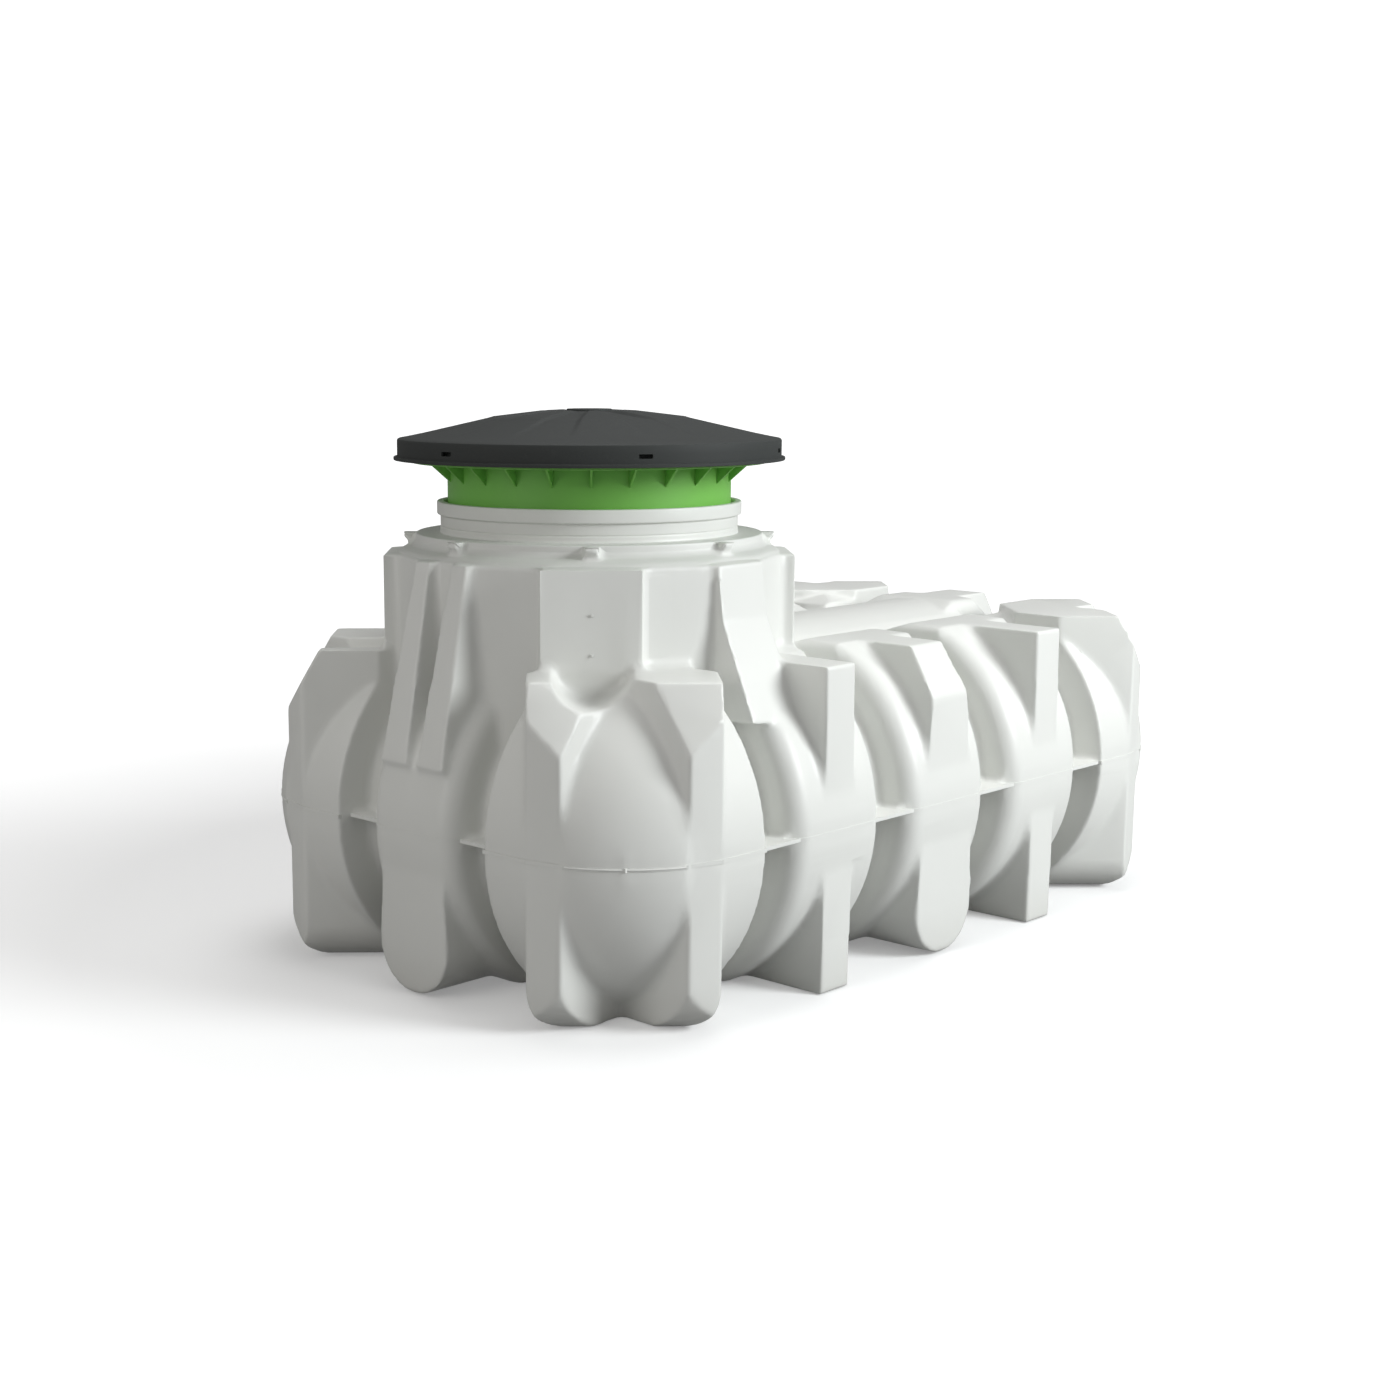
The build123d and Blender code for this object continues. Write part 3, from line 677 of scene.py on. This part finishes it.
roofLugs = {"Count": 8, "Radius": 0.394, "Start Angle": 0.0, "Centre": (towerX, 0.0, 0.9375),
            "Block Size": (0.030, 0.030, 0.015), "Taper": 0.016}
ringPiece("roofLugs", roofLugs, "tank_plastic", "tank", 0.002)

shaftGussets = {"Count": 24, "Radius": 0.3335, "Start Angle": 0.0, "Centre": (towerX, 0.0, 1.0785),
                "Block Size": (0.047, 0.0048, 0.041), "Taper": 0.0455}
ringPiece("shaftGussets", shaftGussets, "shaft_green", "shaft", 0.0008)

padMarks = {"Radius": 0.447, "Start Angle": pi / 4, "Block Size": (0.002, 0.006, 0.006), "Taper": 0.0}
for number, height in enumerate((0.812, 0.731)):
    marks = {**padMarks, "Count": 4, "Centre": (towerX, 0.0, height)}
    ringPiece(f"padMarks{number + 1}", marks, "tank_plastic", "tank", 0.0006)
print("lugs, gussets and marks made")


# Shaft

shaftSleeve = {
    "radius": 0.311, "wall": 0.006, "foot": 0.680, "flange": 1.104, "collar": 0.390, "top": 1.144,
    "rounding": 0.002,
}
bore = shaftSleeve["radius"] - shaftSleeve["wall"]
collarBore = shaftSleeve["collar"] - shaftSleeve["wall"]
flangeFoot = shaftSleeve["flange"] - shaftSleeve["wall"]
shaftProfile = rounded([
    (bore, shaftSleeve["foot"]), (shaftSleeve["radius"], shaftSleeve["foot"]),
    (shaftSleeve["radius"], flangeFoot), (shaftSleeve["collar"], flangeFoot),
    (shaftSleeve["collar"], shaftSleeve["top"]), (collarBore, shaftSleeve["top"]),
    (collarBore, shaftSleeve["flange"]), (bore, shaftSleeve["flange"])], shaftSleeve["rounding"])
newPiece("shaftSleeve", lathe("shaftSleeve", shaftProfile, 160), "shaft_green", "shaft", *bodyNodes["shaft"])
print("shaft made")


# Lid

lidShape = {
    "columns": 720, "radius": 0.420, "bottom": 1.104, "lip": 0.008, "lipHeight": 0.007, "shoulder": 1.150,
    "wall": 0.005, "corner": 0.001, "slopeRows": 12, "crownRows": 5, "crownRadius": 0.210, "crownTop": 1.193,
    "ribs": 8, "ribMiddle": 231, "ribHalfTurn": 13.5, "ribRise": 0.0075, "ribSide": 0.010, "ribEnd": 0.365,
    "capRadius": 0.050, "capFoot": 1.208, "capTop": 1.213, "underside": 1.203, "crownUnderside": 1.188,
    "seatRadius": 0.375, "seat": 1.1445, "slots": 6, "slotWidth": 0.030, "slotLow": 1.122, "slotHigh": 1.131,
    "crease": 35,
}


def lidRows():
    # Profile from the lip up over the top and back along the underside
    d = lidShape
    edge, lip, corner = d["radius"], d["radius"] + d["lip"], d["corner"]
    lipTop = d["bottom"] + d["lipHeight"]
    outside = [
        (edge - d["wall"], d["bottom"]), (lip - corner, d["bottom"]), (lip, d["bottom"] + corner),
        (lip, lipTop - corner), (lip - corner, lipTop), (edge + corner, lipTop), (edge, lipTop + corner),
        (edge, d["slotLow"]), (edge, d["slotHigh"]), (edge, d["shoulder"] - 0.004),
        (edge - 0.0012, d["shoulder"] - 0.0012), (edge - 0.004, d["shoulder"] + 0.0004)]
    slope = []
    for step in range(1, d["slopeRows"] + 1):
        t = step / (d["slopeRows"] + 1)
        radius = edge - 0.004 + (d["crownRadius"] - edge) * t
        slope.append((radius, d["shoulder"] + (d["crownTop"] - d["shoulder"]) * t))
    crown = [(d["crownRadius"], d["crownTop"])]
    for step in range(1, d["crownRows"] + 1):
        t = step / (d["crownRows"] + 1)
        radius = d["crownRadius"] + (d["capRadius"] + 0.003 - d["crownRadius"]) * t
        crown.append((radius, d["crownTop"] + (d["capFoot"] - d["crownTop"]) * t))
    cap = [
        (d["capRadius"] + 0.001, d["capFoot"]), (d["capRadius"], d["capFoot"] + 0.001),
        (d["capRadius"] - 0.0005, d["capTop"] - 0.001), (d["capRadius"] - 0.002, d["capTop"]),
        (0.02, d["capTop"]), (0.0, d["capTop"])]
    inside = [
        (0.0, d["underside"]), (d["capRadius"], d["underside"]), (d["crownRadius"], d["crownUnderside"]),
        (d["seatRadius"], d["shoulder"]), (d["seatRadius"], d["seat"]), (edge - d["wall"], d["seat"]),
        (edge - d["wall"], d["slotHigh"]), (edge - d["wall"], d["slotLow"])]
    return outside + slope + crown + cap, inside


def ribLift(turn, radius):
    # Height of the wedge-shaped ribs, which fade towards the rim
    d = lidShape
    if not d["capRadius"] < radius < d["ribEnd"]:
        return 0
    offset = (turn - radians(d["ribMiddle"])) * d["ribs"] / tau
    near = abs((offset + 0.5) % 1 - 0.5) * tau / d["ribs"]
    share = (radius - d["capRadius"]) / (d["ribEnd"] - d["capRadius"])
    side = (radians(d["ribHalfTurn"]) - near) * radius / d["ribSide"]
    return d["ribRise"] * (1 - share) * max(0, min(1, side)) * min(1, share * 8)


def inSlot(column):
    # Whether the face between this column and the next one is cut by a slot
    d = lidShape
    middle = tau * (column + 0.5) / d["columns"]
    near = abs((middle * d["slots"] / tau + 0.5) % 1 - 0.5) * tau / d["slots"] * d["radius"]
    return near < d["slotWidth"] / 2


def makeLid():
    columns = lidShape["columns"]
    upper, inside = lidRows()
    rows = upper + inside
    shape = bmesh.new()
    rings = []
    for step in range(columns):
        turn = tau * step / columns
        ring = []
        for number, (radius, height) in enumerate(rows):
            lift = ribLift(turn, radius) if number < len(upper) else 0
            x = towerX + radius * cos(turn)
            ring.append(shape.verts.new((x, radius * sin(turn), height + lift)))
        rings.append(ring)
    slotRow = upper.index((lidShape["radius"], lidShape["slotLow"]))
    innerRow = len(rows) - 2
    for step in range(columns):
        ring, after = rings[step], rings[(step + 1) % columns]
        for here in range(len(rows)):
            if inSlot(step) and here in (slotRow, innerRow):
                continue
            there = (here + 1) % len(rows)
            shape.faces.new((ring[here], after[here], after[there], ring[there]))
    # Walls of the slots
    for step in range(columns):
        ring, after = rings[step], rings[(step + 1) % columns]
        if inSlot(step):
            shape.faces.new((ring[slotRow], after[slotRow], after[innerRow + 1], ring[innerRow + 1]))
            shape.faces.new((ring[slotRow + 1], after[slotRow + 1], after[innerRow], ring[innerRow]))
        if inSlot(step) != inSlot(step - 1):
            shape.faces.new((ring[slotRow], ring[slotRow + 1], ring[innerRow], ring[innerRow + 1]))
    bmesh.ops.remove_doubles(shape, verts=shape.verts, dist=1e-6)
    bmesh.ops.recalc_face_normals(shape, faces=shape.faces)
    mesh = bpy.data.meshes.new("lid")
    shape.to_mesh(mesh)
    shape.free()
    return shaded(mesh, lidShape["crease"])


newPiece("lid", makeLid(), "lid_grey", "lid", "lid_rim", "lid_crown", "lid_cap")

# Skirt inside the rim, which makes the slots dark
lidSkirt = {"inner": 0.3985, "outer": 0.402, "foot": 1.108, "top": 1.146, "rounding": 0.001}
skirtProfile = rounded([
    (lidSkirt["inner"], lidSkirt["foot"]), (lidSkirt["outer"], lidSkirt["foot"]),
    (lidSkirt["outer"], lidSkirt["top"]), (lidSkirt["inner"], lidSkirt["top"])], lidSkirt["rounding"])
newPiece("lidSkirt", lathe("lidSkirt", skirtProfile, 160), "lid_grey", "lid")
print("lid made")


# Floor, light and camera

studio = {"key": 300, "top": 95, "left": 46, "world": 0.29, "floorBounce": 0.36, "glow": 0.24, "gloss": 0.22}
backdrop = {"halfWidth": 30, "near": -30, "far": 6, "radius": 3, "top": 14, "turn": 44.6, "steps": 8}

floorMesh = bpy.data.meshes.new("studioFloor")
shape = bmesh.new()
profile = [(backdrop["near"], 0), (backdrop["far"], 0)]
for step in range(1, backdrop["steps"] + 1):
    bend = step * pi / (2 * backdrop["steps"])
    profile.append((backdrop["far"] + backdrop["radius"] * sin(bend), backdrop["radius"] * (1 - cos(bend))))
profile.append((backdrop["far"] + backdrop["radius"], backdrop["top"]))
turn = Matrix.Rotation(radians(backdrop["turn"]), 3, "Z")
lines = []
for across in (-backdrop["halfWidth"], backdrop["halfWidth"]):
    lines.append([shape.verts.new(turn @ Vector((along, across, up))) for along, up in profile])
for index in range(len(profile) - 1):
    quad = (lines[0][index], lines[0][index + 1], lines[1][index + 1], lines[1][index])
    shape.faces.new(quad).smooth = True
shape.to_mesh(floorMesh)
shape.free()
floor = bpy.data.objects.new("studioFloor", floorMesh)
scene.collection.objects.link(floor)


def makeStudioWhite():
    # White to the camera, with the shadow kept near the tank, and dim to the tank itself
    paint = Paint("studioWhite")
    away = paint.add("ShaderNodeVectorMath", {"operation": "LENGTH"}, {0: paint.place()}, output="Value")
    far = paint.ramp(away * 0.1, [(0.16, (0, 0, 0)), (0.42, (1, 1, 1))])
    bounce = studio["floorBounce"]
    dim = paint.add("ShaderNodeBsdfDiffuse", {}, {"Color": (bounce, bounce, bounce, 1)})
    bright = paint.add("ShaderNodeBsdfDiffuse", {}, {"Color": (0.8, 0.8, 0.8, 1)})
    glow = paint.add("ShaderNodeEmission", {}, {"Color": studio["glow"] + far * 0.6, "Strength": 1})
    seen = paint.add("ShaderNodeAddShader", {}, {0: bright, 1: glow})
    white = paint.add("ShaderNodeEmission", {}, {"Color": (1, 1, 1, 1), "Strength": studio["gloss"]})
    camera = paint.add("ShaderNodeLightPath", output="Is Camera Ray")
    glossy = paint.add("ShaderNodeLightPath", output="Is Glossy Ray")
    notSeen = paint.add("ShaderNodeMixShader", {}, {0: glossy, 1: dim, 2: white})
    return paint.output(paint.add("ShaderNodeMixShader", {}, {0: camera, 1: notSeen, 2: seen}))


floorMesh.materials.append(makeStudioWhite())


def softLamp(name, place, target, size, power, colour):
    data = bpy.data.lights.new(name, "AREA")
    data.shape = "DISK"
    data.size = size
    data.energy = power
    data.color = colour
    lamp = bpy.data.objects.new(name, data)
    lamp.location = place
    lamp.rotation_euler = (Vector(target) - Vector(place)).to_track_quat("-Z", "Y").to_euler()
    scene.collection.objects.link(lamp)


softLamp("keyRight", (1.6, -5.0, 2.8), (0, 0, 0.4), 2.4, studio["key"], (0.96, 0.99, 1.0))
softLamp("overhead", (0.3, 0.3, 5.0), (0, 0, 0.4), 3.0, studio["top"], (1, 1, 1))
softLamp("fillLeft", (-5.0, 0.5, 2.2), (0, 0, 0.5), 3.0, studio["left"], (1, 0.98, 0.95))

world = bpy.data.worlds.new("studioWorld")
world.use_nodes = True
background = world.node_tree.nodes["Background"]
background.inputs["Color"].default_value = (1, 1, 1, 1)
# White behind everything the camera sees, and dimmer as a light
seen = world.node_tree.nodes.new("ShaderNodeLightPath")
strength = world.node_tree.nodes.new("ShaderNodeMath")
strength.operation = "MULTIPLY_ADD"
strength.inputs[1].default_value = 1 - studio["world"]
strength.inputs[2].default_value = studio["world"]
world.node_tree.links.new(seen.outputs["Is Camera Ray"], strength.inputs[0])
world.node_tree.links.new(strength.outputs[0], background.inputs["Strength"])
scene.world = world

photoCamera = bpy.data.cameras.new("photoCamera")
photoCamera.lens = 52.27
photoCamera.sensor_width = 36
photoCamera.shift_x = 0.0885
photoCamera.shift_y = 0.0205
photoCamera.clip_end = 100
camera = bpy.data.objects.new("photoCamera", photoCamera)
camera.location = (-3.7298, -3.1376, 1.3038)
camera.rotation_euler = (radians(79.892), 0, radians(-45.356))
scene.collection.objects.link(camera)
scene.camera = camera
scene.view_settings.view_transform = "Standard"
print("studio made")
